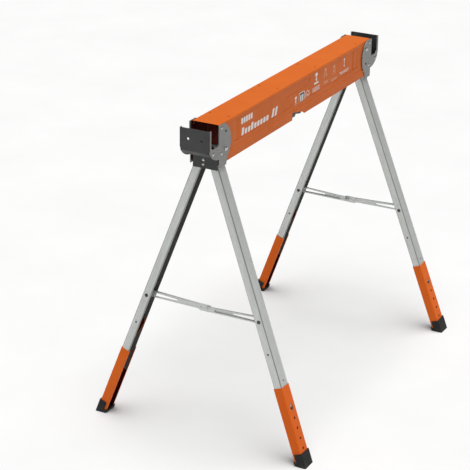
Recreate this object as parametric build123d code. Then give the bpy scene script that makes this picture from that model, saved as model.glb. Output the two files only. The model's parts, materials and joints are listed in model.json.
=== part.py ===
"""Folding sawhorse: a pressed steel beam on two folding pairs of telescopic legs.

Millimetres. X runs along the beam, Y across it, Z up, and the floor is Z = 0.
The legs, braces and levers are drawn once, for the left front corner, and mirrored.
"""

import os
from math import atan2, cos, degrees, hypot, radians, sin

from build123d import *

# ---------------------------------------------------------------- driving dimensions
TOP_Z = 914.0  # working height with the legs fully out
BEAM_LENGTH = 944.0
BEAM_WIDTH = 81.0
BEAM_HEIGHT = 110.0
BEAM_SHEET = 1.6
SPREAD = 20.3  # each leg from upright, across the beam, degrees
SPLAY = 2.6  # each leg pair from upright, along the beam, degrees

# fold bolts: the left pair hangs on the lower hole, the right pair on the upper one
BOLT_X = 440.0
LOWER_BOLT_Z = 843.0
UPPER_BOLT_Z = 890.0
BOLT_R = 5.0

# leg channels, in the leg's own frame: x along the beam, y towards the other leg, z up the leg
LEG_W = 39.0
LEG_D = 24.0
LEG_SHEET = 1.5
LEG_BEND = 3.0
LEG_OFFSET = 6.0  # the leg's middle stands this far outboard of the fold bolt
PIN_Y = 12.5
PIN_DROP = 19.0  # leg pin below the lower bolt
PIN_R = 4.0
BRACE_AT = 465.0  # distances down the leg from its pin
LEVER_AT = 557.0
BUTTON_AT = 718.0
UPPER_END_AT = 738.0
SLEEVE_TOP_AT = 654.0
BOOT_TOP_AT = 844.0
STEP = 29.0  # pitch of the height holes
STEPS = 4

SLEEVE_GAP = 0.3
SLEEVE_SHEET = 1.3
BOOT_WALL = 2.9
BOOT_SOLE = 9.0
COLLAR_REACH = 7.0  # how far past the leg's middle the boot's collar goes, towards the other leg

RUN = 0.08  # radial clearance of a turning pin
GAP = 0.35  # side clearance between sliding or turning faces

# brackets
PLATE = 2.5
BRACKET_Y = BEAM_WIDTH / 2 + 1.5  # inner face of a side plate, on the beam's stepped skirt
SLOT_OUT_X = 518.0
SLOT_IN_X = 477.0
SLOT_FLOOR_Z = 858.0
END_PLATE_X = 526.0
END_PLATE_TOP = TOP_Z - 3.0
END_BEND_Z = 850.0  # where the end plate turns in under the timber slot
TIE_Z = 838.0  # underside of the end plate's bent-in foot

# ---------------------------------------------------------------- worked out from them
BEAM_BOTTOM = TOP_Z - BEAM_HEIGHT
LEG_X = BOLT_X + LEG_OFFSET
PIN_Z = LOWER_BOLT_Z - PIN_DROP
SLEEVE_IN_X = LEG_W / 2 + SLEEVE_GAP
SLEEVE_IN_Y = LEG_D / 2 + SLEEVE_GAP
SLEEVE_X = SLEEVE_IN_X + SLEEVE_SHEET
SLEEVE_Y = SLEEVE_IN_Y + SLEEVE_SHEET
LEG_REACH = PIN_Z / (cos(radians(SPREAD)) * cos(radians(SPLAY)))

PAIR = (
    Pos(-BOLT_X, 0, LOWER_BOLT_Z)
    * Rot(0, SPLAY, 0)
    * Pos(BOLT_X, 0, -LOWER_BOLT_Z)
)
LEG = PAIR * Pos(-LEG_X, -PIN_Y, PIN_Z) * Rot(-SPREAD, 0, 0)


# ---------------------------------------------------------------- helpers
def block(x0, x1, y0, y1, z0, z1):
    """A box between two corners."""
    return Pos((x0 + x1) / 2, (y0 + y1) / 2, (z0 + z1) / 2) * Box(x1 - x0, y1 - y0, z1 - z0)


def rod_x(r, x0, x1, y=0.0, z=0.0):
    """A cylinder along X."""
    return Pos((x0 + x1) / 2, y, z) * Rot(0, 90, 0) * Cylinder(r, x1 - x0)


def rod_y(r, y0, y1, x=0.0, z=0.0):
    """A cylinder along Y."""
    return Pos(x, (y0 + y1) / 2, z) * Rot(90, 0, 0) * Cylinder(r, y1 - y0)


def rod_z(r, z0, z1, x=0.0, y=0.0):
    """A cylinder along Z."""
    return Pos(x, y, (z0 + z1) / 2) * Cylinder(r, z1 - z0)


def sheet_xz(outline, y0, y1):
    """A flat plate whose outline lies in the XZ plane."""
    return extrude(Plane.XZ.offset(-y0) * outline, y1 - y0, dir=(0, 1, 0))


def sheet_yz(outline, x0, x1):
    """A flat plate whose outline lies in the YZ plane."""
    return extrude(Plane.YZ.offset(x0) * outline, x1 - x0, dir=(1, 0, 0))


def polygon(*points):
    """A flat outline through the given points."""
    return make_face(Polyline(*points, close=True))


def dome(r, height):
    """A low round rivet head standing on the XY plane."""
    sphere_r = (r * r + height * height) / (2 * height)
    ball = Pos(0, 0, height - sphere_r) * Sphere(sphere_r)
    return ball & block(-r, r, -r, r, 0, height)


def rivet(shank_r, head_r, grip, tail=True):
    """A rivet along Z: its head stands on Z = 0, its shank runs down by grip."""
    body = dome(head_r, head_r * 0.45) + rod_z(shank_r, -grip, 0)
    if tail:
        body += Pos(0, 0, -grip) * Rot(180, 0, 0) * dome(head_r * 0.8, head_r * 0.35)
    return body


# ---------------------------------------------------------------- beam
SKIRT_TOP = BEAM_BOTTOM + 24.0
SKIRT_STEP = 1.5
PANEL_X = 356.0
PANEL_Z = (BEAM_BOTTOM + 39.0, TOP_Z - 10.0)
PANEL_DEPTH = 1.2
BEAD_W = 34.0  # wide upright groove at each end of the panel
BEAD_DEPTH = 2.0
BAND_X = (-85.0, 63.0)  # sunk band in the upper half of the panel
BAND_Z = (BEAM_BOTTOM + 75.0, TOP_Z - 13.0)
BAND_DEPTH = 2.0
NOTCH_X = (-48.0, 30.0)
NOTCH_RISE = (22.0, 9.0)  # height of the notch at its upright side and where its top turns down
TOP_HOLES_X = (118.0, 395.0)
TOP_HOLES_Y = 28.0
TOP_HOLE_R = 2.5


def beam_section():
    """The folded sheet seen from the end: a roof, two walls and a stepped skirt on each."""
    outer = BEAM_WIDTH / 2
    t = BEAM_SHEET
    bend = 4.0
    rise = TOP_Z - SKIRT_TOP
    trough = RectangleRounded(2 * outer, 2 * rise, bend)
    trough -= RectangleRounded(2 * (outer - t), 2 * (rise - t), bend - t)
    trough = Pos(0, SKIRT_TOP) * (trough & Pos(0, rise / 2) * Rectangle(3 * outer, rise))
    skirt = polygon(
        (outer - t, SKIRT_TOP),
        (outer, SKIRT_TOP),
        (outer + SKIRT_STEP, SKIRT_TOP - SKIRT_STEP),
        (outer + SKIRT_STEP, BEAM_BOTTOM),
        (outer + SKIRT_STEP - t, BEAM_BOTTOM),
        (outer + SKIRT_STEP - t, SKIRT_TOP - SKIRT_STEP),
    )
    return trough + skirt + skirt.mirror(Plane.YZ)


def panel_emboss():
    """One wall's pressed panel: what is pushed in, and what is cut from the outer face.

    The panel is flat, with a sunk band above its middle and a round-bottomed bead at each end.
    """
    z0, z1 = PANEL_Z
    out = BEAM_WIDTH / 2
    panel = Pos(0, (z0 + z1) / 2) * RectangleRounded(2 * PANEL_X, z1 - z0, 3)
    cut = sheet_xz(panel, -out - 1, -out + PANEL_DEPTH)
    bead_r = ((BEAD_W / 2) ** 2 + BEAD_DEPTH**2) / (2 * BEAD_DEPTH)
    for end in (-1, 1):
        cut += rod_z(bead_r, z0, z1, end * (PANEL_X + BEAD_W / 2), -(out + bead_r - BEAD_DEPTH))
    band_w, band_h = BAND_X[1] - BAND_X[0], BAND_Z[1] - BAND_Z[0]
    band = Pos(sum(BAND_X) / 2, sum(BAND_Z) / 2) * RectangleRounded(band_w, band_h, 4)
    cut += sheet_xz(band, -out - 1, -out + BAND_DEPTH)
    width = 2 * (PANEL_X + BEAD_W + BEAM_SHEET)
    pushed = Pos(0, (z0 + z1) / 2) * RectangleRounded(width, z1 - z0 + 2 * BEAM_SHEET, 6)
    push = sheet_xz(pushed, -out + BEAM_SHEET / 2, -out + PANEL_DEPTH + BEAM_SHEET)
    return push, cut


def beam_shell():
    """The main beam: one sheet folded into an upside-down trough, open below and at the ends."""
    shell = extrude(Plane.YZ * beam_section(), BEAM_LENGTH / 2, both=True)
    push, cut = panel_emboss()
    shell = shell + push - cut
    shell = shell + push.mirror(Plane.XZ) - cut.mirror(Plane.XZ)
    notch = polygon(
        (NOTCH_X[0], BEAM_BOTTOM - 1),
        (NOTCH_X[0], BEAM_BOTTOM + NOTCH_RISE[0]),
        (NOTCH_X[1] - 17, BEAM_BOTTOM + NOTCH_RISE[1]),
        (NOTCH_X[1], BEAM_BOTTOM - 1),
    )
    shell -= sheet_xz(notch, -BEAM_WIDTH, BEAM_WIDTH)
    for x in TOP_HOLES_X:
        for sx in (-1, 1):
            for sy in (-1, 1):
                shell -= rod_z(TOP_HOLE_R, TOP_Z - 5, TOP_Z + 1, sx * x, sy * TOP_HOLES_Y)
    for z, end in ((LOWER_BOLT_Z, -1), (UPPER_BOLT_Z, 1)):
        shell -= rod_y(BOLT_R + RUN, -BEAM_WIDTH, BEAM_WIDTH, end * BOLT_X, z)
    for end in (-1, 1):
        for x, z in WALL_RIVETS:
            shell -= rod_y(RIVET_R, -BEAM_WIDTH, BEAM_WIDTH, end * x, z)
    shell -= rod_y(CATCH_PIN_R, -BEAM_WIDTH, 0, CATCH_X, CATCH_Z)
    return shell


# ---------------------------------------------------------------- end brackets
RIVET_R = 2.5
WALL_RIVETS = ((462.0, 904.0), (463.0, 834.0))
EAR_RIVET = (507.0, 845.0)
EAR_TOP = SLOT_FLOOR_Z - 3.0
WALL_GRIP = BRACKET_Y + PLATE - BEAM_WIDTH / 2 + BEAM_SHEET  # flush with the beam's inner face
OPEN_HOLE_R = 4.0
OUTER_CORNER = 7.0  # bevel of the timber slot's outer lower corner
INNER_CORNER = 2.0
CHEEK_BULGE = (-412.0, 868.0)  # where the cheek reaches furthest along the beam
NECK_X = (-473.0, -437.0)  # the cheek's narrow foot, beside the legs
NECK_BOTTOM = BEAM_BOTTOM - 7.0


def side_plate(bolt_z, open_z):
    """A left front side plate: a hook round the timber slot and a cheek over the beam's end."""
    front = -END_PLATE_X + PLATE
    top = TOP_Z - 1.0
    slot_out, slot_in = -SLOT_OUT_X, -SLOT_IN_X
    edge = [
        Line((front, END_BEND_Z), (front, END_PLATE_TOP)),
        Line((front, END_PLATE_TOP), (slot_out, END_PLATE_TOP)),
        Line((slot_out, END_PLATE_TOP), (slot_out, SLOT_FLOOR_Z + OUTER_CORNER)),
        Line((slot_out, SLOT_FLOOR_Z + OUTER_CORNER), (slot_out + OUTER_CORNER, SLOT_FLOOR_Z)),
        Line((slot_out + OUTER_CORNER, SLOT_FLOOR_Z), (slot_in - INNER_CORNER, SLOT_FLOOR_Z)),
        Line((slot_in - INNER_CORNER, SLOT_FLOOR_Z), (slot_in, SLOT_FLOOR_Z + INNER_CORNER)),
        Line((slot_in, SLOT_FLOOR_Z + INNER_CORNER), (slot_in, top)),
        Line((slot_in, top), (-446, top)),
        ThreePointArc((-446, top), CHEEK_BULGE, (-431, 818)),
        Line((-431, 818), (NECK_X[1], NECK_BOTTOM)),
        Line((NECK_X[1], NECK_BOTTOM), (NECK_X[0], NECK_BOTTOM)),
        Line((NECK_X[0], NECK_BOTTOM), (NECK_X[0], 822)),
        ThreePointArc((NECK_X[0], 822), (-503, 830), (front, END_BEND_Z)),
    ]
    outline = make_face(Curve(edge))
    plate = sheet_xz(outline, -BRACKET_Y - PLATE, -BRACKET_Y)
    low, high = -BRACKET_Y - PLATE - 1, -BRACKET_Y + 1
    plate -= rod_y(BOLT_R + RUN, low, high, -BOLT_X, bolt_z)
    plate -= rod_y(OPEN_HOLE_R, low, high, -BOLT_X, open_z)
    for x, z in (*WALL_RIVETS, EAR_RIVET):
        plate -= rod_y(RIVET_R, low, high, -x, z)
    return plate - rod_y(3.0, low, high, *CHEEK_BULGE)


def end_plate():
    """The left end plate: an upright face, a bent-in foot and two ears inside the side plates."""
    half = BRACKET_Y + PLATE
    outline = polygon(
        (-half, END_BEND_Z),
        (half, END_BEND_Z),
        (half, END_PLATE_TOP),
        (-half, END_PLATE_TOP),
    )
    face = sheet_yz(outline, -END_PLATE_X, -END_PLATE_X + PLATE)
    foot = [
        (-END_PLATE_X, END_BEND_Z),
        (-END_PLATE_X + PLATE, END_BEND_Z),
        (-514.5, TIE_Z + PLATE),
        (-482, TIE_Z + PLATE),
        (-482, TIE_Z),
        (-515.5, TIE_Z),
    ]
    inside = BRACKET_Y
    foot_bend = sheet_xz(polygon(*foot), -inside, inside)
    ears = block(-515, -494, inside - PLATE, inside, TIE_Z, EAR_TOP)
    plate = face + foot_bend + ears + ears.mirror(Plane.XZ)
    corner = polygon((half + 1, END_BEND_Z - 1), (half - 9, END_BEND_Z - 1), (half + 1, END_BEND_Z + 9))
    corner = sheet_yz(corner, -END_PLATE_X - 1, -END_PLATE_X + PLATE)
    plate = plate - corner - corner.mirror(Plane.XZ)
    for y in (-20, 20):
        plate -= rod_x(3.5, -END_PLATE_X - 1, -END_PLATE_X + PLATE + 1, y, 883)
    plate -= block(-506, -490, -9, 9, TIE_Z - 1, TIE_Z + PLATE + 1)
    return plate - rod_y(RIVET_R, -half, half, -EAR_RIVET[0], EAR_RIVET[1])


def bracket_rivets():
    """Six domed rivets that hold one end's side plates to the beam and to the end plate."""
    group = []
    for y, turn in ((-1, 90), (1, -90)):
        for x, z in WALL_RIVETS:
            spot = Pos(-x, y * (BRACKET_Y + PLATE), z) * Rot(turn, 0, 0)
            group.append(spot * rivet(RIVET_R, 4.5, WALL_GRIP, tail=False))
        x, z = EAR_RIVET
        spot = Pos(-x, y * (BRACKET_Y + PLATE), z) * Rot(turn, 0, 0)
        group.append(spot * rivet(RIVET_R, 5, 2 * PLATE))
    return Compound(group)


def fold_bolt(z):
    """The bolt that one leg pair folds on, with its nut and washers: separate solids."""
    face = BRACKET_Y + PLATE
    shank = rod_y(BOLT_R, -face, face + 9, -BOLT_X, z)
    head = Pos(-BOLT_X, -face - 1.4, z) * Rot(90, 0, 0) * dome(7, 3.6)
    bolt = head + shank + rod_y(8, -face - 1.4, -face, -BOLT_X, z)
    hexagon = Pos(-BOLT_X, z) * RegularPolygon(8.5, 6, major_radius=False)
    nut = sheet_xz(hexagon, face + 1.5, face + 8) - rod_y(BOLT_R, face, face + 9, -BOLT_X, z)
    washer = rod_y(10.5, face, face + 1.5, -BOLT_X, z) - rod_y(BOLT_R, face, face + 2, -BOLT_X, z)
    return Compound([bolt, nut, washer])


# ---------------------------------------------------------------- stow catch in the beam's notch
CATCH_X = -34.0
CATCH_Z = 834.0
CATCH_PIN_R = 3.0
CATCH_Y = -(BEAM_WIDTH / 2 - PANEL_DEPTH - BEAM_SHEET)  # inner face of the embossed wall


def stow_catch():
    """A flat hook behind the front wall, that fills the upper part of the notch."""
    outline = polygon(
        (-42, 844),
        (-26, 844),
        (16, 831),
        (26, 816),
        (14, 806),
        (-4, 810),
        (-16, 813),
        (-22, 807),
        (-42, 807),
    )
    outline = fillet(outline.vertices(), 3)
    plate = sheet_xz(outline, CATCH_Y + 1.0, CATCH_Y + 3.0)
    return plate - rod_y(CATCH_PIN_R + RUN, -50, 0, CATCH_X, CATCH_Z)


def catch_pin():
    """The shouldered rivet that the catch turns on."""
    wall = -BEAM_WIDTH / 2
    head = Pos(CATCH_X, wall, CATCH_Z) * Rot(90, 0, 0) * dome(6, 2.2)
    inner = rod_y(5, CATCH_Y + 3.0 + GAP, CATCH_Y + 5.0, CATCH_X, CATCH_Z)
    return head + rod_y(CATCH_PIN_R, wall, CATCH_Y + 5.0, CATCH_X, CATCH_Z) + inner


# ---------------------------------------------------------------- leg carriers
CARRIER_OUT_Y = 37.2
CARRIER_BOTTOM = 786.0
INNER_WALL_BOTTOM = BEAM_BOTTOM + 3.0
CHEEK_BOTTOM = 801.0
CARRIER_IN = LEG_W / 2 + GAP
CARRIER_RIVETS_Y = 6.5
CARRIER_RIVETS_Z = (797.0, 809.0)


def leg_carrier(bolt_z):
    """The bracket that both legs of a pair hang in: a deep outer wall, an inner wall, two cheeks."""
    wall_top = PIN_Z + 12
    half = CARRIER_OUT_Y
    x0 = -LEG_X - CARRIER_IN - PLATE
    x1 = -LEG_X + CARRIER_IN + PLATE
    walls = block(x0, x0 + PLATE, -half, half, CARRIER_BOTTOM, wall_top)
    walls += block(x1 - PLATE, x1, -half, half, INNER_WALL_BOTTOM, wall_top)
    top = bolt_z + 13.0
    cheek = polygon(
        (x0, CHEEK_BOTTOM),
        (x1, CHEEK_BOTTOM),
        (x1, wall_top),
        (-BOLT_X + 13, bolt_z),
        (-BOLT_X + 8, top),
        (-BOLT_X - 8, top),
        (-BOLT_X - 13, bolt_z),
        (x0, wall_top),
    )
    cheek = sheet_xz(cheek, CARRIER_OUT_Y - PLATE, CARRIER_OUT_Y)
    body = walls + cheek + cheek.mirror(Plane.XZ)
    for y in (-PIN_Y, PIN_Y):
        body -= rod_x(PIN_R, x0 - 1, x1 + 1, y, PIN_Z)
    body -= block(x0 - 1, x0 + PLATE + 0.5, -1, 1, CARRIER_BOTTOM - 1, 812)
    for z in CARRIER_RIVETS_Z:
        body -= rod_x(2.5, x0 - 1, x0 + PLATE + 0.1, CARRIER_RIVETS_Y, z)
    bolt_hole = rod_y(BOLT_R + RUN, -CARRIER_OUT_Y - 1, CARRIER_OUT_Y + 1, -BOLT_X, bolt_z)
    return PAIR * body - bolt_hole


def leg_pins():
    """Two leg pins with domed ends and two wall rivets, as separate solids."""
    out = CARRIER_IN + PLATE
    pins = []
    for y in (-PIN_Y, PIN_Y):
        shank = rod_x(PIN_R, -LEG_X - out, -LEG_X + out, y, PIN_Z)
        head = Pos(-LEG_X - out, y, PIN_Z) * Rot(0, -90, 0) * dome(6, 2.2)
        tail = Pos(-LEG_X + out, y, PIN_Z) * Rot(0, 90, 0) * dome(6, 2.2)
        pins.append(PAIR * (shank + head + tail))
    for z in CARRIER_RIVETS_Z:
        spot = Pos(-LEG_X - out, CARRIER_RIVETS_Y, z) * Rot(0, -90, 0)
        pins.append(PAIR * spot * rivet(2.5, 4, PLATE, tail=False))
    return Compound(pins)


# ---------------------------------------------------------------- legs
WINDOW_R = 6.5  # teardrop window round the lock button


def channel(width, depth, sheet, bend, top_at, bottom_at, lip=0.0):
    """A folded channel along the leg, open towards the other leg, with lips on its free edges."""
    outer = RectangleRounded(2 * width, 2 * depth, bend)
    inner = RectangleRounded(2 * (width - sheet), 2 * (depth - sheet), bend - sheet)
    mouth = width - sheet - lip
    opening = Pos(0, depth) * Rectangle(2 * mouth, 2 * (bend + sheet))
    section = outer - inner - opening
    return Pos(0, 0, -bottom_at) * extrude(section, bottom_at - top_at)


def upper_leg():
    """The galvanised upper leg: rounded about its pin, pierced for the brace, lever and button."""
    half_w, half_d = LEG_W / 2, LEG_D / 2
    nose = half_d - 0.5
    leg = channel(half_w, half_d, LEG_SHEET, LEG_BEND, 0, UPPER_END_AT, lip=2.0)
    cheeks = rod_x(nose, -half_w, half_w) - rod_x(nose + 1, -half_w + LEG_SHEET, half_w - LEG_SHEET)
    leg = leg - block(-half_w, half_w, -half_d, half_d, -nose * 0.55, 1)
    leg = leg + cheeks
    leg -= rod_x(PIN_R + RUN, -half_w - 1, half_w + 1)
    leg -= rod_x(PIN_R, -half_w - 1, half_w + 1, 0, -BRACE_AT)
    leg -= rod_x(LEVER_PIN_R, -half_w - 1, half_w + 1, 0, -LEVER_AT)
    for at, r in ((38, 2.5), (638, 2.8), (BUTTON_AT, BUTTON_R + 0.6)):
        leg -= rod_y(r, -half_d - 1, 0, 0, -at)
    return LEG * leg


def lower_leg():
    """The painted sleeve outside the upper leg: a teardrop window, then a row of height holes."""
    bottom = LEG_REACH + 20
    sleeve = channel(SLEEVE_X, SLEEVE_Y, SLEEVE_SHEET, 3.2, SLEEVE_TOP_AT, bottom, lip=5.0)
    reach = -SLEEVE_Y - 1
    for n in range(1, STEPS + 1):
        sleeve -= rod_y(BUTTON_R + 0.5, reach, 0, 0, -BUTTON_AT - n * STEP)
    window = make_hull(
        (Pos(0, -BUTTON_AT) * Circle(WINDOW_R)).edges() + (Pos(0, -BUTTON_AT + 11) * Circle(2.5)).edges()
    )
    sleeve -= sheet_xz(window, reach, 0)
    sleeve = LEG * sleeve
    return sleeve & block(-700, 0, -600, 0, BOOT_SOLE, TOP_Z)


def boot():
    """The rubber foot: a flat sole, with a collar round the outer side of the sleeve."""
    out_x = SLEEVE_X + BOOT_WALL
    out_y = SLEEVE_Y + BOOT_WALL
    collar = RectangleRounded(2 * out_x, 2 * out_y, 4)
    covered = out_y + COLLAR_REACH
    collar = collar & Pos(0, COLLAR_REACH - covered / 2) * Rectangle(3 * out_x, covered)
    hollow = RectangleRounded(2 * SLEEVE_X, 2 * SLEEVE_Y, 3.2)
    below = LEG_REACH + 25
    wall = Pos(0, 0, -below) * extrude(collar - hollow, below - BOOT_TOP_AT)
    sole = Pos(0, 0, -below) * extrude(RectangleRounded(2 * out_x, 2 * out_y, 4), below - BOOT_TOP_AT)
    sole = (LEG * sole) & block(-700, 0, -600, 0, 0, BOOT_SOLE)
    return ((LEG * wall) & block(-700, 0, -600, 0, 0, TOP_Z)) + sole


# ---------------------------------------------------------------- release lever and lock button
LEVER_PIN_R = 3.0
LEVER_W = 15.0  # half width
LEVER_WEB = 1.5
BUTTON_R = 3.5
BUTTON_OUT = SLEEVE_Y + 3.0
LEVER_FACE = LEG_D / 2 - LEG_SHEET - 1.0  # outer face of the lever's web, clear of the leg's web


def release_lever():
    """A long tapered channel on a cross pin, that carries the lock button at its lower end."""
    top = -LEVER_AT + 6
    knee = -SLEEVE_TOP_AT
    bottom = -BUTTON_AT - 9
    free = LEG_D / 2 - 1.5
    side = polygon(
        (-LEVER_FACE, top),
        (free - 8, top),
        (free, top - 12),
        (free, top - 20),
        (-LEVER_FACE + 5, knee),
        (-LEVER_FACE + 4, bottom),
        (-LEVER_FACE, bottom),
    )
    body = sheet_yz(side, -LEVER_W, LEVER_W)
    inside = sheet_yz(side, -LEVER_W + LEVER_WEB, LEVER_W - LEVER_WEB)
    body -= Pos(0, LEVER_WEB, 0) * inside
    body -= rod_x(LEVER_PIN_R + RUN, -LEVER_W - 1, LEVER_W + 1, 0, -LEVER_AT)
    body -= rod_y(2.0, -LEVER_FACE - 1, 0, 0, -BUTTON_AT)
    return LEG * body


def lock_button():
    """The round-nosed button that stands through the leg and the sleeve."""
    neck = rod_y(2.0, -LEVER_FACE, -LEVER_FACE + LEVER_WEB, 0, -BUTTON_AT)
    stem = rod_y(BUTTON_R, -BUTTON_OUT + 1.5, -LEVER_FACE, 0, -BUTTON_AT)
    nose = Pos(0, -BUTTON_OUT + 1.5, -BUTTON_AT) * Rot(90, 0, 0) * dome(BUTTON_R, 1.5)
    tail = Pos(0, -LEVER_FACE + LEVER_WEB, -BUTTON_AT) * Rot(-90, 0, 0) * dome(3.2, 1.2)
    return LEG * (neck + stem + nose + tail)


def lever_pin():
    """The cross pin of the release lever, flush with the leg so that the sleeve slides past it."""
    return LEG * rod_x(LEVER_PIN_R, -LEG_W / 2, LEG_W / 2, 0, -LEVER_AT)


def lever_spring():
    """A torsion spring round the lever pin: one arm on the lever's web, the other on the leg's."""
    wire = 0.7
    coil_r = LEVER_PIN_R + wire + 0.5
    turns = 4
    pitch = 2 * wire + 0.3
    path = Helix(pitch, turns * pitch, coil_r)
    coil = sweep(Plane(origin=path @ 0, z_dir=path % 0) * Circle(wire), path=path)
    coil = Pos(-turns * pitch / 2, 0, -LEVER_AT) * Rot(0, 90, 0) * coil
    return LEG * coil


# ---------------------------------------------------------------- braces
ARM_THICK = 5.0
ARM_R = 9.5
ARM_TIP_R = 7.0
LINK_Y = 12.0
LINK_THICK = 1.5
LINK_R = 10.0
LINK_RIVET_R = 3.0
LINK_HEAD = (5.5, 2.2)  # radius and height of the round heads at the knuckle
KNUCKLE_DROP = 4.0
BRACE_Y = PIN_Y + BRACE_AT * sin(radians(SPREAD))
BRACE_Z = PIN_Z - BRACE_AT * cos(radians(SPREAD))
ARM_LENGTH = hypot(BRACE_Y - LINK_Y, KNUCKLE_DROP)
ARM_TILT = degrees(atan2(KNUCKLE_DROP, BRACE_Y - LINK_Y))


def brace_arm(side):
    """Half of a folding brace: two rails from the leg that run together towards the knuckle.

    The outline is drawn along +X from the leg's pin and then stood up in the YZ plane.
    """
    outline = make_hull(
        Circle(ARM_R).edges() + (Pos(ARM_LENGTH, 0) * Circle(ARM_TIP_R)).edges()
    )
    rail = 2.4
    pocket = make_hull(
        (Pos(18, 0) * Circle(ARM_R - rail - 1)).edges()
        + (Pos(ARM_LENGTH - 24, 0) * Circle(ARM_TIP_R - rail - 0.8)).edges()
    )
    window = make_hull((Pos(20, 0) * Circle(4.6)).edges() + (Pos(84, 0) * Circle(2.2)).edges())
    near = LINK_THICK / 2 + GAP
    arm = extrude(outline, ARM_THICK)
    arm -= Pos(0, 0, 1.5) * extrude(pocket, ARM_THICK)
    arm -= Pos(0, 0, -1) * extrude(window, ARM_THICK + 2)
    arm -= Pos(0, 0, -1) * extrude(Circle(PIN_R + RUN), ARM_THICK + 2)
    if side == "back":
        arm -= Pos(ARM_LENGTH, 0, -1) * extrude(Circle(LINK_RIVET_R + RUN), ARM_THICK + 2)
    else:
        arm += Pos(ARM_LENGTH, 0, ARM_THICK) * dome(*LINK_HEAD)
    # thickness runs away from the link: to -X on the front arm, to +X on the back one
    if side == "front":
        stand = Plane(origin=(-LEG_X - near, -BRACE_Y, BRACE_Z), x_dir=(0, 1, 0), z_dir=(-1, 0, 0))
    else:
        stand = Plane(origin=(-LEG_X + near, BRACE_Y, BRACE_Z), x_dir=(0, -1, 0), z_dir=(1, 0, 0))
    return PAIR * stand.location * Rot(0, 0, ARM_TILT) * arm


def brace_link():
    """The knuckle between the two arms: a plate with an eye for each."""
    z = BRACE_Z - KNUCKLE_DROP
    outline = make_hull(
        (Pos(-LINK_Y, z) * Circle(LINK_R)).edges() + (Pos(LINK_Y, z) * Circle(LINK_R)).edges()
    )
    link = sheet_yz(outline, -LEG_X - LINK_THICK / 2, -LEG_X + LINK_THICK / 2)
    link -= rod_x(LINK_RIVET_R, -LEG_X - 5, -LEG_X + 5, LINK_Y, z)
    link -= rod_x(2, -LEG_X - 5, -LEG_X + 5, -LINK_Y, z)
    return PAIR * link


def link_rivet():
    """The rivet that joins the knuckle to the back arm; its tail is flush with the knuckle."""
    z = BRACE_Z - KNUCKLE_DROP
    flush = -LEG_X - LINK_THICK / 2
    end = -LEG_X + LINK_THICK / 2 + GAP + ARM_THICK + GAP
    shank = rod_x(LINK_RIVET_R, flush, end, LINK_Y, z)
    head = Pos(end, LINK_Y, z) * Rot(0, 90, 0) * dome(*LINK_HEAD)
    return PAIR * (shank + head)


def brace_pin():
    """The pin through the leg that a brace arm turns on, with a low head at each end."""
    half = LEG_W / 2
    pin = rod_x(PIN_R, -half, half, 0, -BRACE_AT)
    pin += Pos(-half, 0, -BRACE_AT) * Rot(0, -90, 0) * dome(5.5, 1.8)
    pin += Pos(half, 0, -BRACE_AT) * Rot(0, 90, 0) * dome(5.5, 1.8)
    return LEG * pin


# ---------------------------------------------------------------- write every piece
def placed(shape, end, side="front"):
    """Mirror a left front piece to its own corner."""
    if side == "back":
        shape = shape.mirror(Plane.XZ)
    if end == "right":
        shape = shape.mirror(Plane.YZ)
    return shape


def pieces():
    """Every piece by its node name."""
    made = {"beam_shell": beam_shell(), "stow_catch": stow_catch(), "catch_pin": catch_pin()}
    bolt_heights = {"left": (LOWER_BOLT_Z, UPPER_BOLT_Z), "right": (UPPER_BOLT_Z, LOWER_BOLT_Z)}
    corner_parts = {
        "upper_leg": upper_leg(),
        "lower_leg": lower_leg(),
        "boot": boot(),
        "release_lever": release_lever(),
        "lock_button": lock_button(),
        "lever_pin": lever_pin(),
        "lever_spring": lever_spring(),
        "brace_pin": brace_pin(),
    }
    for end, (bolt_z, open_z) in bolt_heights.items():
        made[f"end_plate_{end}"] = placed(end_plate(), end)
        made[f"bracket_rivets_{end}"] = placed(bracket_rivets(), end)
        made[f"fold_bolt_{end}"] = placed(fold_bolt(bolt_z), end)
        made[f"leg_carrier_{end}"] = placed(leg_carrier(bolt_z), end)
        made[f"leg_pins_{end}"] = placed(leg_pins(), end)
        made[f"brace_link_{end}"] = placed(brace_link(), end)
        made[f"link_rivet_{end}"] = placed(link_rivet(), end)
        for side in ("front", "back"):
            made[f"side_plate_{end}_{side}"] = placed(side_plate(bolt_z, open_z), end, side)
            made[f"brace_arm_{end}_{side}"] = placed(brace_arm(side), end)
            for name, shape in corner_parts.items():
                made[f"{name}_{end}_{side}"] = placed(shape, end, side)
    return made


os.makedirs("parts", exist_ok=True)
for node, solid in pieces().items():
    export_step(solid, f"parts/{node}.step")
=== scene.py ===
"""Folding sawhorse: finishes, printed marks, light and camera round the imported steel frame.

Metres, in the frame's own axes: X along the beam, Y across it, Z up from the floor.
Every steel, rubber and zinc piece keeps its own shape and gets a finish here.
The printed marks on the beam are new surfaces, thin as ink.
"""

import json
from math import cos, pi, radians, sin

import bpy
import numpy as np
from mathutils import Matrix, Vector


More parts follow.
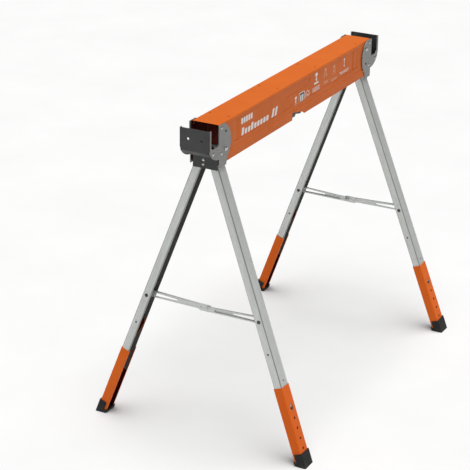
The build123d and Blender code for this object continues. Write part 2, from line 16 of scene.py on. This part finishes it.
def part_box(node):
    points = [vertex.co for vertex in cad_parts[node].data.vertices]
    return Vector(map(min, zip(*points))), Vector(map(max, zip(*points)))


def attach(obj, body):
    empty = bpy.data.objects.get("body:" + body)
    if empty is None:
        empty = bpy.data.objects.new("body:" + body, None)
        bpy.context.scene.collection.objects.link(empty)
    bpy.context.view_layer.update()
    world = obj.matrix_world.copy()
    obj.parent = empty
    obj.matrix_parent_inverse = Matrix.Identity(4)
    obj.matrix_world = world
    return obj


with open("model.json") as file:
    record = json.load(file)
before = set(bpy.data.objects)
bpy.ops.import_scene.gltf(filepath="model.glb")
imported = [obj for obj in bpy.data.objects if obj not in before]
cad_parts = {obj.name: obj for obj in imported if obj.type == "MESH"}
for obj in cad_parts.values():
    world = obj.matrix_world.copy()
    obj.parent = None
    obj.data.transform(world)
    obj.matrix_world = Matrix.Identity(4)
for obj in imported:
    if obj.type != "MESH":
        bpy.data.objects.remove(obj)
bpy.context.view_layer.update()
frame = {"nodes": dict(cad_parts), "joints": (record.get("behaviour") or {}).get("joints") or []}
NODES = frame["nodes"]
ENDS = ("left", "right")
SIDES = ("front", "back")
CORNERS = [f"{end}_{side}" for end in ENDS for side in SIDES]
JOINTS = {joint["name"]: joint for joint in frame["joints"]}

TOP_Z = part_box("beam_shell")[1].z
BEAM_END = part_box("beam_shell")[1].x
SHEET = 0.0016  # the beam is folded from sheet this thick
SKIRT_STEP = 0.0015  # the beam's skirt stands this far out from its walls
PANEL_RECESS = 0.0012  # the panel is pressed this far into each wall
WALL_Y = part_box("beam_shell")[1].y - SKIRT_STEP - PANEL_RECESS
X_AXIS = Vector((1, 0, 0))
Y_AXIS = Vector((0, 1, 0))

# where a face starts to count, and where it counts in full, in the masks that place the painted shade inside
# the folds and on the bends
LEG_INWARD = (-0.003, -0.006)  # the normal's reach towards the leg's line, in metres
TROUGH_INWARD = (-0.008, -0.015)  # the same towards the beam's middle plane
UNDER_ROOF = (-0.5, -0.8)  # the normal's upward part
NEAR_ROOF = (-0.002, -0.001)  # height from the roof's underside, in metres
NEAR_CUT_END = (-0.0006, -0.0002)  # distance past the beam's end, in metres
BEND_TURN = (0.12, 0.36)  # product of the normal's leans to two faces


# ---------------------------------------------------------------- shader graph helpers
class Graph:
    """A Principled finish and the nodes that feed it."""

    def __init__(self, name):
        self.material = bpy.data.materials.new(name)
        self.material.use_nodes = True
        self.tree = self.material.node_tree
        self.tree.nodes.clear()
        output = self.add("ShaderNodeOutputMaterial")
        self.shader = self.add("ShaderNodeBsdfPrincipled")
        self.tree.links.new(self.shader.outputs["BSDF"], output.inputs["Surface"])
        coordinates = self.add("ShaderNodeTexCoord")
        self.place = coordinates.outputs["Object"]
        self.normal = coordinates.outputs["Normal"]

    def add(self, kind, **settings):
        made = self.tree.nodes.new(kind)
        for key, value in settings.items():
            setattr(made, key, value)
        return made

    def link(self, source, target):
        self.tree.links.new(source, target)

    def set(self, **values):
        """Constants on the shader's own sockets; an underscore stands for a space."""
        for key, value in values.items():
            self.shader.inputs[key.replace("_", " ")].default_value = value

    def turned(self, angles, scale):
        """Object coordinates turned, then stretched."""
        mapping = self.add("ShaderNodeMapping", vector_type="TEXTURE")
        mapping.inputs["Rotation"].default_value = angles
        mapping.inputs["Scale"].default_value = scale
        self.link(self.place, mapping.inputs["Vector"])
        return mapping.outputs["Vector"]

    def noise(self, scale, detail=3.0, roughness=0.55, place=None):
        made = self.add("ShaderNodeTexNoise")
        made.inputs["Scale"].default_value = scale
        made.inputs["Detail"].default_value = detail
        made.inputs["Roughness"].default_value = roughness
        self.link(place or self.place, made.inputs["Vector"])
        return made.outputs["Fac"]

    def cells(self, scale):
        """One random grey for each crystal-like cell."""
        made = self.add("ShaderNodeTexVoronoi")
        made.inputs["Scale"].default_value = scale
        self.link(self.place, made.inputs["Vector"])
        grey = self.add("ShaderNodeSeparateColor")
        self.link(made.outputs["Color"], grey.inputs["Color"])
        return grey.outputs["Red"]

    def spread(self, value, low, high, to_low=0.0, to_high=1.0):
        """Stretch low..high to to_low..to_high, held at both ends."""
        made = self.add("ShaderNodeMapRange")
        for key, number in (("From Min", low), ("From Max", high), ("To Min", to_low), ("To Max", to_high)):
            made.inputs[key].default_value = number
        self.link(value, made.inputs["Value"])
        return made.outputs["Result"]

    def maths(self, operation, first, second):
        made = self.add("ShaderNodeMath", operation=operation)
        for slot, value in zip(made.inputs, (first, second)):
            if isinstance(value, (int, float)):
                slot.default_value = value
            else:
                self.link(value, slot)
        return made.outputs["Value"]

    def absolute(self, value):
        return self.maths("ABSOLUTE", value, 0.0)

    def blend(self, share, first, second):
        """Colour that goes from first to second as share goes from 0 to 1."""
        made = self.add("ShaderNodeMix", data_type="RGBA")
        self.link(share, made.inputs["Factor"])
        for slot, value in ((made.inputs[6], first), (made.inputs[7], second)):
            if isinstance(value, tuple):
                slot.default_value = (*value, 1.0)
            else:
                self.link(value, slot)
        return made.outputs[2]

    def vector(self, operation, first, second, result="Vector"):
        made = self.add("ShaderNodeVectorMath", operation=operation)
        slots = (made.inputs[0], made.inputs["Scale"] if operation == "SCALE" else made.inputs[1])
        for slot, value in zip(slots, (first, second)):
            if isinstance(value, tuple):
                slot.default_value = value
            else:
                self.link(value, slot)
        return made.outputs[result]

    def facing_in(self, point, along):
        """1 where a wall looks towards the line through point in the direction along, else 0: where a leg
        takes its painted shade inside.
        """
        offset = self.vector("SUBTRACT", self.place, tuple(point))
        share = self.vector("DOT_PRODUCT", offset, tuple(along), "Value")
        radial = self.vector("SUBTRACT", offset, self.vector("SCALE", tuple(along), share))
        return self.spread(self.vector("DOT_PRODUCT", radial, self.normal, "Value"), *LEG_INWARD)

    def parts(self, vector):
        """A vector's X, Y and Z."""
        made = self.add("ShaderNodeSeparateXYZ")
        self.link(vector, made.inputs["Vector"])
        return [made.outputs[axis] for axis in "XYZ"]

    def inside_trough(self, end_x, roof_z):
        """1 on the trough's inner walls (n.y y below 0), under its roof and on its cut ends, else 0: where
        the beam's coat takes the painted shade.
        """
        x, y, z = self.parts(self.place)
        _, across, upward = self.parts(self.normal)
        walls = self.spread(self.maths("MULTIPLY", across, y), *TROUGH_INWARD)
        facing_down = self.spread(upward, *UNDER_ROOF)
        high_up = self.spread(z, roof_z + NEAR_ROOF[0], roof_z + NEAR_ROOF[1])
        roof = self.maths("MULTIPLY", facing_down, high_up)
        ends = self.spread(self.absolute(x), end_x + NEAR_CUT_END[0], end_x + NEAR_CUT_END[1])
        return self.maths("MAXIMUM", self.maths("MAXIMUM", walls, roof), ends)

    def on_bends(self, first, second):
        """1 where a rounded bend turns between two face directions, 0 on the flats: |n.a| |n.b|. It places
        the painted shade on a leg's bends.
        """
        lean_first, lean_second = [
            self.absolute(self.vector("DOT_PRODUCT", self.normal, tuple(axis), "Value"))
            for axis in (first, second)
        ]
        return self.spread(self.maths("MULTIPLY", lean_first, lean_second), *BEND_TURN)

    def worn_edges(self, reach, breakup_scale):
        """1 on sharp outer edges, 0 on flats: how far a rounded normal leans from the true one."""
        rounded = self.add("ShaderNodeBevel", samples=6)
        rounded.inputs["Radius"].default_value = reach
        flat = self.add("ShaderNodeNewGeometry")
        lean = self.vector("DOT_PRODUCT", rounded.outputs["Normal"], flat.outputs["Normal"], "Value")
        edge = self.spread(lean, 0.985, 0.86)
        rubbed = self.spread(self.noise(breakup_scale, 4.0, 0.7), 0.42, 0.62)
        return self.maths("MULTIPLY", edge, rubbed)

    def bump(self, height, distance, strength=1.0):
        made = self.add("ShaderNodeBump")
        made.inputs["Distance"].default_value = distance
        made.inputs["Strength"].default_value = strength
        self.link(height, made.inputs["Height"])
        self.link(made.outputs["Normal"], self.shader.inputs["Normal"])

    def colour(self, value):
        self.link(value, self.shader.inputs["Base Color"])

    def roughness(self, value):
        self.link(value, self.shader.inputs["Roughness"])


# ---------------------------------------------------------------- finishes
BEAM_ORANGE = ((0.61, 0.128, 0.018), (0.68, 0.152, 0.024))
LEG_ORANGE = ((0.74, 0.128, 0.012), (0.80, 0.150, 0.016))
# lighter orange on the outer edges: partly rubbed coat, partly a painted highlight along the edges
ORANGE_RUB_AND_HIGHLIGHT = (0.85, 0.38, 0.16)
# painted shade: deep dark red drawn inside the folds of the coated sheet and on the beam's cut ends
SHADE_RED = (0.050, 0.0035, 0.0015)
SHADE_RED_PALE = (0.105, 0.0095, 0.0035)


def powder_coat(name, oranges, find_inside):
    """Satin orange powder coat outside; inside the fold of the sheet, painted shade in a deep dark red.

    Orange-peel bump, slow colour drift, and narrow lighter orange rubs on the outer edges that also serve as
    a painted highlight. find_inside(g) gives
    1 on the inside of the folded piece, where the painted shade goes.
    """
    g = Graph(name)
    paint = g.blend(g.spread(g.noise(6.0, 4.0), 0.3, 0.7), *oranges)
    # edge mask: partly rubs, partly a painted highlight along the outer edges
    rubs_and_highlight = g.maths("MULTIPLY", g.worn_edges(0.0009, 90.0), 0.5)
    outside = g.blend(rubs_and_highlight, paint, ORANGE_RUB_AND_HIGHLIGHT)
    inside = find_inside(g)
    # painted shade: deep dark red, a little mottled, wherever find_inside gives 1
    thin = g.blend(g.spread(g.noise(30.0, 4.0), 0.35, 0.7), SHADE_RED, SHADE_RED_PALE)
    g.colour(g.blend(inside, outside, thin))
    sheen = g.spread(g.noise(40.0, 3.0), 0.3, 0.7, 0.40, 0.50)
    g.roughness(g.maths("MAXIMUM", sheen, g.maths("MULTIPLY", inside, 0.95)))
    g.bump(g.noise(950.0, 2.0), 0.00006, 0.5)
    g.set(Specular_IOR_Level=0.08)
    return g.material


def galvanised(name, along, point=None):
    """Bright galvanised sheet: faint spangle, and rolling lines that run along the piece.

    On a folded leg the bends are drawn darker as painted shade, and inside it, told by the line (point,
    along), the zinc is drawn dark grey as painted shade, with a high roughness.
    """
    g = Graph(name)
    stretched = g.turned(along.to_track_quat("Z", "Y").to_euler(), (1.0, 1.0, 14.0))
    rolling = g.noise(260.0, 4.0, 0.65, stretched)
    soft = g.noise(28.0, 3.0, 0.5, stretched)
    base = g.blend(g.spread(soft, 0.3, 0.7), (0.58, 0.60, 0.575), (0.68, 0.70, 0.675))
    lined = g.blend(g.spread(rolling, 0.35, 0.7, 0.0, 0.35), base, (0.44, 0.455, 0.44))
    finish = g.blend(g.spread(g.cells(150.0), 0.0, 1.0, 0.0, 0.16), lined, (0.84, 0.85, 0.83))
    sheen = g.spread(rolling, 0.3, 0.7, 0.40, 0.56)
    if point is not None:
        # painted shade: the bends of a folded leg drawn darker
        bends = g.maths("MULTIPLY", g.on_bends(X_AXIS, along.cross(X_AXIS).normalized()), 0.7)
        finish = g.blend(bends, finish, (0.16, 0.165, 0.155))
        # painted shade: inside the leg's channel the zinc is drawn dark grey
        inside = g.facing_in(point, along)
        painted_inner_shade = g.blend(g.spread(soft, 0.3, 0.7), (0.15, 0.152, 0.140), (0.20, 0.203, 0.188))
        finish = g.blend(inside, finish, painted_inner_shade)
        sheen = g.maths("MAXIMUM", sheen, g.maths("MULTIPLY", inside, 0.75))
    g.colour(finish)
    g.roughness(sheen)
    g.bump(rolling, 0.00003, 0.45)
    g.set(Metallic=0.60, Specular_IOR_Level=0.5)
    return g.material


def charcoal_coat():
    """Satin charcoal paint with a fine texture, rubbed to bare steel along its edges."""
    g = Graph("charcoal_coat")
    drift = g.spread(g.noise(14.0, 4.0), 0.3, 0.7)
    paint = g.blend(drift, (0.036, 0.037, 0.037), (0.050, 0.051, 0.050))
    g.colour(g.blend(g.worn_edges(0.0011, 130.0), paint, (0.24, 0.24, 0.235)))
    g.roughness(g.spread(g.noise(60.0, 3.0), 0.3, 0.7, 0.42, 0.56))
    g.bump(g.noise(1100.0, 2.0), 0.00007, 0.5)
    g.set(Metallic=0.15, Specular_IOR_Level=0.5)
    return g.material


def hammered_grey():
    """Mid-grey hammered enamel: dimples a few millimetres across, with metal flake in the paint."""
    g = Graph("hammered_grey")
    dimples = g.noise(330.0, 2.0, 0.45)
    flake = g.cells(900.0)
    paint = g.blend(g.spread(dimples, 0.35, 0.68), (0.165, 0.165, 0.16), (0.26, 0.26, 0.255))
    flecked = g.blend(g.spread(flake, 0.6, 1.0, 0.0, 0.25), paint, (0.42, 0.42, 0.41))
    g.colour(g.blend(g.worn_edges(0.0010, 120.0), flecked, (0.45, 0.45, 0.44)))
    g.roughness(g.spread(dimples, 0.3, 0.7, 0.34, 0.50))
    g.bump(dimples, 0.00025, 0.55)
    g.set(Metallic=0.45, Specular_IOR_Level=0.5)
    return g.material


def zinc_plate():
    """Dull zinc plate on turned and headed fasteners, darker in patches."""
    g = Graph("zinc_plate")
    patch = g.spread(g.noise(160.0, 4.0), 0.35, 0.68)
    g.colour(g.blend(patch, (0.40, 0.40, 0.39), (0.64, 0.64, 0.63)))
    g.roughness(g.spread(g.noise(420.0, 3.0), 0.3, 0.7, 0.24, 0.42))
    g.bump(g.noise(1300.0, 2.0), 0.00003, 0.4)
    g.set(Metallic=0.95)
    return g.material


def dark_steel():
    """Oiled black oxide on the pins and lock buttons, rubbed brighter on their edges."""
    g = Graph("dark_steel")
    oxide = g.blend(g.spread(g.noise(210.0, 4.0), 0.35, 0.68), (0.060, 0.056, 0.052), (0.11, 0.105, 0.10))
    g.colour(g.blend(g.worn_edges(0.0006, 300.0), oxide, (0.32, 0.31, 0.30)))
    g.roughness(g.spread(g.noise(380.0, 3.0), 0.3, 0.7, 0.34, 0.52))
    g.bump(g.noise(1300.0, 2.0), 0.00003, 0.4)
    g.set(Metallic=0.7)
    return g.material


def moulded_rubber():
    """Matte black rubber: fine spark-eroded grain, a little floor dust low down."""
    g = Graph("moulded_rubber")
    _, _, height = g.parts(g.place)
    low_down = g.spread(height, 0.016, 0.0)
    dust = g.maths("MULTIPLY", low_down, g.spread(g.noise(120.0, 5.0, 0.7), 0.45, 0.7, 0.0, 0.5))
    body = g.blend(g.spread(g.noise(50.0, 3.0), 0.3, 0.7), (0.010, 0.0105, 0.011), (0.018, 0.0185, 0.019))
    g.colour(g.blend(dust, body, (0.11, 0.105, 0.095)))
    g.roughness(g.spread(g.noise(300.0, 3.0), 0.3, 0.7, 0.62, 0.80))
    g.bump(g.noise(1500.0, 2.0), 0.00008, 0.6)
    g.set(Specular_IOR_Level=0.35)
    return g.material


def ink_surface(g):
    """The satin of dry ink, with the grain of the coat under it showing through."""
    g.roughness(g.spread(g.noise(90.0, 3.0), 0.3, 0.7, 0.42, 0.55))
    g.bump(g.noise(950.0, 2.0), 0.00005, 0.5)


def printed_white(name="printed_white", ink=(0.80, 0.78, 0.75)):
    """Screen-printed ink: slightly uneven, thin enough to pick up the coat's bump."""
    g = Graph(name)
    thin = g.spread(g.noise(240.0, 4.0, 0.7), 0.30, 0.44, 1.0, 0.0)
    g.colour(g.blend(g.maths("MULTIPLY", thin, 0.35), ink, (0.70, 0.42, 0.26)))
    ink_surface(g)
    return g.material


def printed_black():
    """Screen-printed black ink for the field inside the frame."""
    g = Graph("printed_black")
    g.colour(g.blend(g.spread(g.noise(200.0, 3.0), 0.35, 0.7), (0.018, 0.017, 0.017), (0.035, 0.033, 0.032)))
    ink_surface(g)
    return g.material


def dress(node, material):
    """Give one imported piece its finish."""
    slots = NODES[node].data.materials
    slots.clear()
    slots.append(material)


def leg_line(corner):
    """The leg's pin, and the direction up the leg, as the frame's joints give them."""
    pin = Vector(JOINTS[f"spread_{corner}"]["pos_m"])
    up_leg = Vector(JOINTS[f"extend_{corner}"]["axis"]).normalized()
    return pin, up_leg


def dress_everything():
    """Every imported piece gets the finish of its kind; what has no kind here is zinc plated."""
    charcoal = charcoal_coat()
    dark = dark_steel()
    brace = galvanised("galvanised_brace", Y_AXIS)
    kinds = {
        "end_plate": charcoal,
        "leg_carrier": charcoal,
        "stow_catch": charcoal,
        "side_plate": hammered_grey(),
        "boot": moulded_rubber(),
        "brace_arm": brace,
        "brace_link": brace,
    }
    for kind in ("lock_button", "lever_pin", "brace_pin"):
        kinds[kind] = dark
    # the beam's coat: painted shade inside the trough, under the roof and on the cut ends
    beam_coat = powder_coat("beam_coat", BEAM_ORANGE, lambda g: g.inside_trough(BEAM_END, TOP_Z - SHEET))
    kinds["beam_shell"] = kinds["catch_pin"] = beam_coat
    for corner in CORNERS:
        pin, up_leg = leg_line(corner)
        kinds[f"upper_leg_{corner}"] = galvanised(f"galvanised_{corner}", up_leg, pin)
        # the legs' coat: painted shade on the walls that face the leg's line
        leg_coat = powder_coat(f"leg_coat_{corner}", LEG_ORANGE, lambda g: g.facing_in(pin, up_leg))
        kinds[f"lower_leg_{corner}"] = kinds[f"release_lever_{corner}"] = leg_coat
    zinc = zinc_plate()
    for node in NODES:
        matches = [kind for kind in kinds if node.startswith(kind)]
        dress(node, kinds[matches[0]] if matches else zinc)


# ---------------------------------------------------------------- surfaces
def grid_faces(rows, columns, closed=False):
    """Quads of a grid of points, rows by columns; closed joins the last column to the first."""
    strips = columns if closed else columns - 1
    row, column = np.meshgrid(np.arange(rows - 1), np.arange(strips), indexing="ij")
    here = row * columns + column
    beside = row * columns + (column + 1) % columns
    return np.stack([here, beside, beside + columns, here + columns], axis=-1).reshape(-1, 4)


def mesh_piece(name, points, faces, material, body):
    """A mesh object from whole arrays, riding on a body of the frame."""
    mesh = bpy.data.meshes.new(name)
    mesh.from_pydata(points.tolist(), [], faces.tolist())
    mesh.materials.append(material)
    mesh.update()
    piece = bpy.data.objects.new(name, mesh)
    bpy.context.scene.collection.objects.link(piece)
    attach(piece, body)


def joined(parts):
    """Points and faces of several patches as one pair of arrays."""
    starts = np.cumsum([0] + [len(points) for points, _ in parts[:-1]])
    points = np.concatenate([points for points, _ in parts])
    faces = np.concatenate([faces + start for (_, faces), start in zip(parts, starts)])
    return points, faces


def bar(x, z, width, height, roundness=0.12, lean=0.0, cells=9):
    """A flat patch that goes from rectangle to ellipse as roundness goes from 0 to 1.

    With u and v from -1 to 1: x = w/2 u sqrt(1 - k v^2 / 2), z = h/2 v sqrt(1 - k u^2 / 2),
    and lean slides each row sideways by lean times its height.
    """
    u, v = np.meshgrid(np.linspace(-1, 1, cells), np.linspace(-1, 1, cells))
    along = width / 2 * u * np.sqrt(1 - roundness * v * v / 2)
    up = height / 2 * v * np.sqrt(1 - roundness * u * u / 2)
    flat = np.stack([x + along + lean * up, z + up], axis=-1).reshape(-1, 2)
    return flat, grid_faces(cells, cells)


def ring(x, z, width, height, line, power=2.0, steps=48):
    """A flat frame: the superellipse |x/a|^p + |z/b|^p = 1 and the same one drawn in by line."""
    turn = np.linspace(0, 2 * pi, steps, endpoint=False)
    c, s = np.cos(turn), np.sin(turn)
    across = np.sign(c) * np.abs(c) ** (2 / power)
    up = np.sign(s) * np.abs(s) ** (2 / power)
    unit = np.stack([across, up], axis=-1)
    outer = unit * (width / 2, height / 2)
    inner = unit * (width / 2 - line, height / 2 - line)
    flat = np.concatenate([inner, outer]) + (x, z)
    return flat, grid_faces(2, steps, closed=True)[:, ::-1]


def arrowhead(x, z, width, height, cells=7):
    """A triangle with a blunt tip: rows from the base (v = 0) narrow by 1 - v.

    A height below 0 points it down.
    """
    u, v = np.meshgrid(np.linspace(-0.5, 0.5, cells), np.linspace(0, 0.96, cells))
    flat = np.stack([x + width * u * (1 - v), z + height * v], axis=-1).reshape(-1, 2)
    faces = grid_faces(cells, cells)
    return flat, faces if height > 0 else faces[:, ::-1]


INK = 0.00012  # how far the printed ink stands off the coat
LOW_ROW = 0.852  # height of the marks low on the wall
HIGH_ROW = 0.884  # height of the four marks with notes
SHORT_PITCH = 0.0132
LONG_PITCH = 0.0176
LONG_FOOT = 0.8465  # height of the long row's lower edge
LONG_TALL = 0.021
TAIL_PITCH = 0.0185


def print_on_wall(name, patches, wall_y, material, layer=1):
    """Lay flat x, z patches on a beam wall; the back wall's print is turned half round about Z."""
    flat, faces = joined(patches)
    side = -1 if wall_y < 0 else 1
    out = np.full(len(flat), wall_y + side * INK * layer)
    points = np.stack([-side * flat[:, 0], out, flat[:, 1]], axis=-1)
    mesh_piece(name, points, faces, material, "beam")


def long_mark():
    """The wide mark near the left end: a short row of blocks above a long row of leaning bars."""
    short = [bar(-0.3415 + SHORT_PITCH * n, 0.8870, 0.0100, 0.0165, 0.25) for n in range(5)]
    tall_and_low = (1.0, 0.72, 0.72, 1.0, 0.72, 0.72, 0.72, 0.72, 0.72)
    long = [
        bar(-0.337 + LONG_PITCH * n, LONG_FOOT + LONG_TALL / 2 * tall, 0.0125, LONG_TALL * tall, 0.2, 0.15)
        for n, tall in enumerate(tall_and_low)
    ]
    tail = [bar(-0.1625 + TAIL_PITCH * n, LONG_FOOT + 0.0122, 0.0115, 0.0245, 0.1, 0.34) for n in range(2)]
    return short + long + tail


def load_mark(x, z, size):
    """Load pressing on a bar: a block, an arrow and the bar."""
    return [
        bar(x, z + 0.34 * size, 0.42 * size, 0.24 * size, 0.2),
        bar(x, z + 0.12 * size, 0.12 * size, 0.22 * size, 0.0),
        arrowhead(x, z + 0.03 * size, 0.40 * size, -0.24 * size),
        bar(x, z - 0.32 * size, 0.76 * size, 0.14 * size, 0.2),
    ]


def horse_mark(x, z, size):
    """The horse from its end: a roof bar on two leaning legs, with a cross bar."""
    return [
        bar(x, z + 0.40 * size, 0.40 * size, 0.20 * size, 0.2),
        bar(x - 0.20 * size, z - 0.10 * size, 0.09 * size, 0.78 * size, 0.0, 0.32),
        bar(x + 0.20 * size, z - 0.10 * size, 0.09 * size, 0.78 * size, 0.0, -0.32),
        bar(x, z - 0.18 * size, 0.44 * size, 0.06 * size, 0.0),
    ]


def height_mark(x, z, size):
    """Height: an arrow up and an arrow down on one stem."""
    return [
        bar(x, z, 0.09 * size, 0.56 * size, 0.0),
        arrowhead(x, z + 0.24 * size, 0.30 * size, 0.26 * size),
        arrowhead(x, z - 0.24 * size, 0.30 * size, -0.26 * size),
    ]


def note_lines(x, z, widths):
    """Short level lines that stand for small print under a mark."""
    return [bar(x, z - 0.0048 * n, width, 0.0019, 0.3) for n, width in enumerate(widths)]


def print_beam(wall_y, face):
    """All of one wall's print: the wide mark, three marks in a row, and four marks with notes."""
    white = printed_white()
    framed = 0.014  # along the beam, the middle of the framed black field
    print_on_wall(f"printed_mark_{face}", long_mark(), wall_y, white)
    icons = load_mark(-0.024, LOW_ROW, 0.030)
    icons += [ring(framed, LOW_ROW, 0.036, 0.036, 0.0022, 8.0)]
    icons += [ring(0.050, LOW_ROW, 0.025, 0.025, 0.0020), bar(0.050, LOW_ROW, 0.013, 0.0030, 0.1)]
    icons += load_mark(0.106, HIGH_ROW, 0.038) + note_lines(0.106, LOW_ROW + 0.007, (0.052, 0.046, 0.050))
    icons += height_mark(0.294, HIGH_ROW, 0.030) + note_lines(0.295, LOW_ROW + 0.007, (0.066, 0.058))
    print_on_wall(f"printed_icons_{face}", icons, wall_y, white)
    faint = horse_mark(0.166, HIGH_ROW + 0.002, 0.028) + note_lines(0.170, LOW_ROW + 0.008, (0.034, 0.030))
    faint += horse_mark(0.225, HIGH_ROW - 0.004, 0.026) + note_lines(0.225, LOW_ROW + 0.002, (0.046, 0.040))
    faint_ink = printed_white("printed_faint", (0.72, 0.40, 0.24))
    print_on_wall(f"printed_faint_{face}", faint, wall_y, faint_ink)
    field = [bar(framed, LOW_ROW, 0.0305, 0.0305, 0.1)]
    print_on_wall(f"printed_field_{face}", field, wall_y, printed_black())
    inset = [bar(framed + aside, LOW_ROW, 0.0075, 0.021, 0.1) for aside in (-0.0060, 0.0060)]
    print_on_wall(f"printed_inset_{face}", inset, wall_y, white, layer=2)


# ---------------------------------------------------------------- light, floor and camera
FLOOR_HALF = 40.0


def pale_floor():
    """A very large pale floor, faintly mottled."""
    g = Graph("pale_floor")
    g.colour(g.blend(g.spread(g.noise(3.0, 3.0), 0.3, 0.7), (0.80, 0.80, 0.797), (0.83, 0.83, 0.827)))
    g.roughness(g.spread(g.noise(20.0, 3.0), 0.3, 0.7, 0.75, 0.85))
    g.set(Specular_IOR_Level=0.2)
    mesh = bpy.data.meshes.new("floor")
    corners = [(FLOOR_HALF * x, FLOOR_HALF * y, 0) for x, y in ((-1, -1), (1, -1), (1, 1), (-1, 1))]
    mesh.from_pydata(corners, [], [(0, 1, 2, 3)])
    mesh.materials.append(g.material)
    floor = bpy.data.objects.new("floor", mesh)
    bpy.context.scene.collection.objects.link(floor)


SKY = 0.15  # even light from all round
OVERHEAD = 3.35  # watts per square metre on the floor
OVERHEAD_WIDTH = radians(50)  # how wide the overhead light looks from the floor, for soft shadows
OVERHEAD_FROM = Vector((-0.05, -0.08, 1))


def studio_light():
    """A dim even room, and one very wide overhead light, a little to the front."""
    world = bpy.data.worlds.new("studio")
    world.use_nodes = True
    sky = world.node_tree.nodes["Background"]
    sky.inputs["Color"].default_value = (1.0, 1.0, 1.0, 1.0)
    sky.inputs["Strength"].default_value = SKY
    bpy.context.scene.world = world
    bpy.context.scene.view_settings.view_transform = "Standard"
    overhead = bpy.data.lights.new("overhead", "SUN")
    overhead.energy = OVERHEAD
    overhead.angle = OVERHEAD_WIDTH
    light = bpy.data.objects.new("overhead", overhead)
    light.matrix_world = OVERHEAD_FROM.to_track_quat("Z", "Y").to_matrix().to_4x4()
    bpy.context.scene.collection.objects.link(light)


VIEW_TURN = radians(-61.771)
VIEW_RISE = radians(22.5245)
VIEW_ROLL = radians(0.7114)
VIEW_LENS = 129.81
VIEW_DISTANCE = 5.4048  # in object heights, as are the next two
VIEW_ASIDE = -0.1560
VIEW_UP = -0.0271


def set_camera():
    """A long lens off the left end, looking down on the beam from about 22 degrees."""
    back = Vector((sin(VIEW_TURN) * cos(VIEW_RISE), -cos(VIEW_TURN) * cos(VIEW_RISE), sin(VIEW_RISE)))
    level_right = Vector((cos(VIEW_TURN), sin(VIEW_TURN), 0))
    level_up = back.cross(level_right)
    right = cos(VIEW_ROLL) * level_right + sin(VIEW_ROLL) * level_up
    up = cos(VIEW_ROLL) * level_up - sin(VIEW_ROLL) * level_right
    middle = Vector((0, 0, TOP_Z / 2))
    place = middle + TOP_Z * (VIEW_DISTANCE * back + VIEW_ASIDE * right + VIEW_UP * up)
    data = bpy.data.cameras.new("camera")
    data.sensor_width = 36.0
    data.lens = VIEW_LENS
    data.clip_end = 100.0
    camera = bpy.data.objects.new("camera", data)
    camera.matrix_world = Matrix.Translation(place) @ Matrix((right, up, back)).transposed().to_4x4()
    bpy.context.scene.collection.objects.link(camera)
    bpy.context.scene.camera = camera


dress_everything()
print_beam(-WALL_Y, "front")
print_beam(WALL_Y, "back")
pale_floor()
studio_light()
set_camera()
